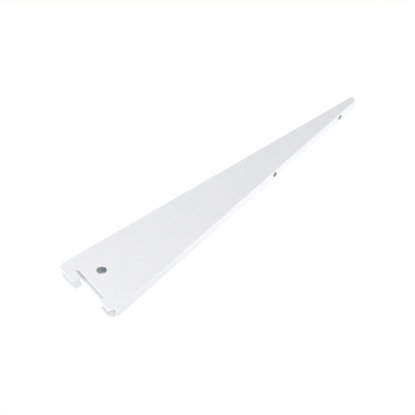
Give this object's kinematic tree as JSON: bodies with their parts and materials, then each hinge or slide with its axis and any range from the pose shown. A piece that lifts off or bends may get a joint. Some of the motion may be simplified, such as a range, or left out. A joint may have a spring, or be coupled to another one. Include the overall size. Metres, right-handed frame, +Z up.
{
  "type": "slotted shelf bracket",
  "caption": "Tapered shelf bracket: a sheet steel channel, open at the top, with hooks and lugs at its rear for a slotted upright and screw holes in its underside.",
  "frame": {"origin": "on the upright's face, level with the top edges that carry the shelf, midway between the two cheeks", "axes": "+X out from the wall along the shelf, +Y across the channel, +Z up"},
  "size_m": [0.383, 0.0126, 0.0823],
  "materials": {
    "white_coat": "satin white powder coat"
  },
  "bodies": {
    "root": {"bracket": "white_coat"}
  },
  "joints": []
}
